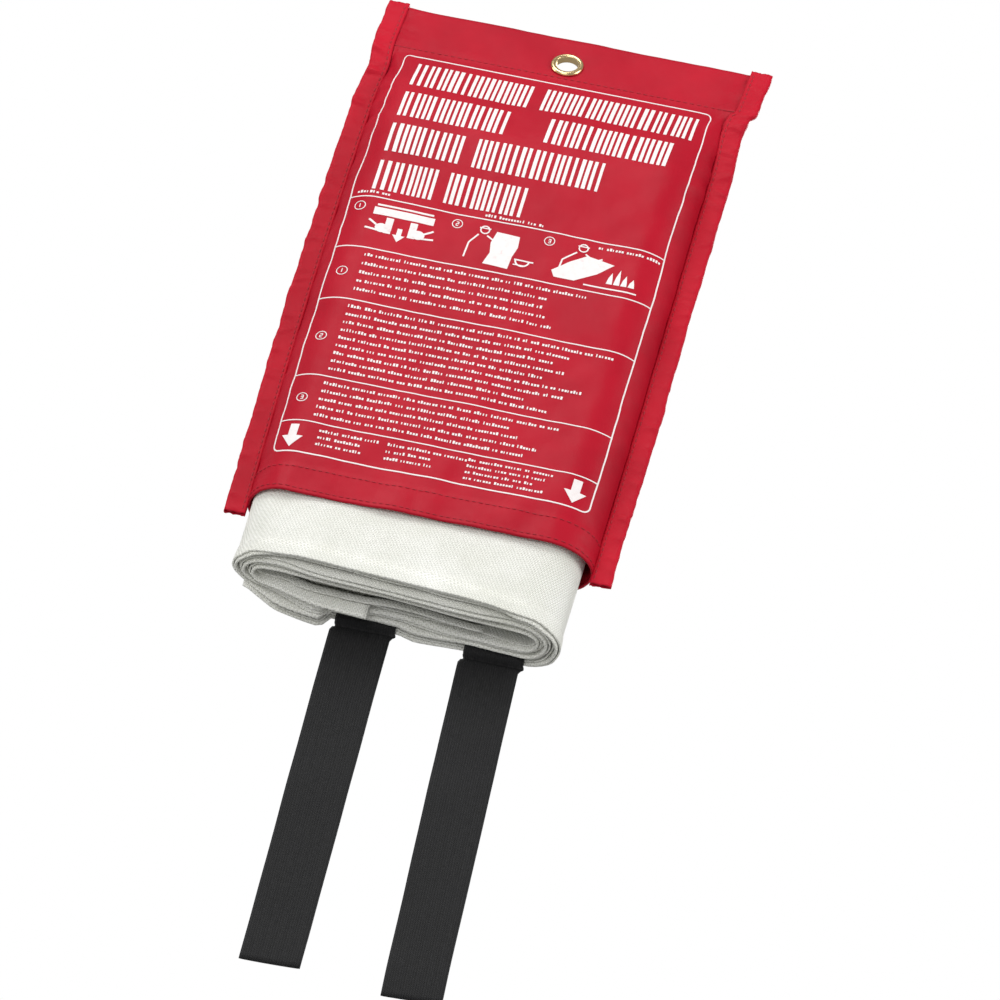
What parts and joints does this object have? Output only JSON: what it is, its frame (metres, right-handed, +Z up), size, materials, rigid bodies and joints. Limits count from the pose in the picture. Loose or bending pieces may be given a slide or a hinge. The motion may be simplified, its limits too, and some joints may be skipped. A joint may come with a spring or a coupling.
{
  "type": "fire blanket",
  "caption": "Folded glass-fibre fire blanket that slides down out of a soft hanging pouch when its two pull straps are drawn.",
  "frame": {"origin": "centre of the hanging eyelet's bore, in the middle of the header's two cloths", "axes": "+Z up along the pouch's height, +X to the right seen from the front, -Y out of the printed front, +Y towards the wall"},
  "size_m": [0.19, 0.041, 0.5649],
  "materials": {
    "printed_red_cloth": "coated cloth with a soft sheen and a white screen print",
    "plain_red_cloth": "coated cloth with a soft sheen",
    "red_binding_tape": "thin folded cloth tape, puckered along its seam",
    "brass": "bright brass plating",
    "red_thread": "spun thread",
    "white_glass_fibre": "woven glass-fibre cloth, matte with a faint silky sheen",
    "white_thread": "spun thread",
    "black_webbing": "twill-woven tape, matte",
    "black_thread": "spun thread"
  },
  "bodies": {
    "pouch": {"front_panel": "printed_red_cloth", "back_panel": "plain_red_cloth", "left_edge_binding": "red_binding_tape", "right_edge_binding": "red_binding_tape", "eyelet_barrel": "brass", "eyelet_washer": "brass", "header_stitching": "red_thread", "front_hem_upper_stitching": "red_thread", "front_hem_lower_stitching": "red_thread", "back_hem_stitching": "red_thread", "left_binding_stitching": "red_thread", "right_binding_stitching": "red_thread"},
    "blanket": {"folded_blanket": "white_glass_fibre", "blanket_hem_stitching": "white_thread", "left_strap_sewn_end": "black_webbing", "right_strap_sewn_end": "black_webbing", "left_strap_box_stitching": "black_thread", "right_strap_box_stitching": "black_thread"},
    "left_strap": {"left_pull_strap": "black_webbing"},
    "right_strap": {"right_pull_strap": "black_webbing"}
  },
  "joints": [
    {"name": "blanket_slide", "type": "slide", "parent": "pouch", "child": "blanket", "axis": [0, 0, -1], "range_m": [-0.02, 0.25]},
    {"name": "left_strap_swing", "type": "hinge", "parent": "blanket", "child": "left_strap", "pos_m": [-0.017, 0.01515, -0.33957], "axis": [1, 0, 0], "range_deg": [-80, 60]},
    {"name": "right_strap_swing", "type": "hinge", "parent": "blanket", "child": "right_strap", "pos_m": [0.048, 0.01515, -0.34366], "axis": [1, 0, 0], "range_deg": [-80, 60]}
  ]
}
